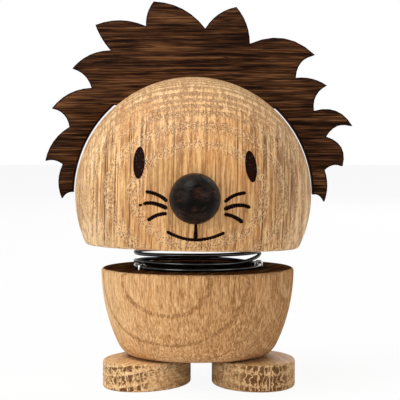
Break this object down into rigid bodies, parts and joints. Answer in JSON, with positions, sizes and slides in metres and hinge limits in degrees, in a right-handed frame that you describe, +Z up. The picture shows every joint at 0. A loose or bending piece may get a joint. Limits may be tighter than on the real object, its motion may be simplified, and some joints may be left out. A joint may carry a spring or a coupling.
{
  "type": "wooden lion figurine",
  "caption": "Small wooden lion ornament: turned bowl body on two oval feet, spring neck, ball head with ball nose and a flat spiky mane plate.",
  "frame": {"origin": "on the floor, under the middle of the whole figure's box", "axes": "+Z up, -Y the way the face looks, +X to the right of someone who looks at the face"},
  "size_m": [0.0768, 0.068, 0.095],
  "materials": {
    "oak": "oiled oak with open pores, satin",
    "smoked_oak": "smoked oak with charred cut edges, satin",
    "stained_wood": "dark stain with a soft shine",
    "dowel_wood": "plain turned rod",
    "spring_steel": "blackened wire, glossy",
    "staple_steel": "bright wire"
  },
  "bodies": {
    "trunk": {"body": "oak", "foot_left": "oak", "foot_right": "oak", "foot_dowel_left": "dowel_wood", "foot_dowel_right": "dowel_wood", "staple_lower_left": "staple_steel", "staple_lower_right": "staple_steel"},
    "neck": {"spring": "spring_steel"},
    "head": {"head": "oak", "mane": "smoked_oak", "nose": "stained_wood", "nose_dowel": "dowel_wood", "staple_upper_back": "staple_steel", "staple_upper_front": "staple_steel"}
  },
  "joints": [
    {"name": "bob", "type": "slide", "parent": "trunk", "child": "neck", "axis": [0, 0, 1], "range_m": [-0.0015, 0.006], "stiffness_N_per_m": 300, "springref_m": 0.00177, "deforming": ["spring"]},
    {"name": "nod", "type": "hinge", "parent": "neck", "child": "head", "pos_m": [-0.00035, 0.0047, 0.0314], "axis": [1, 0, 0], "range_deg": [-7, 7], "stiffness_Nm_per_rad": 0.1, "deforming": ["spring"]}
  ]
}
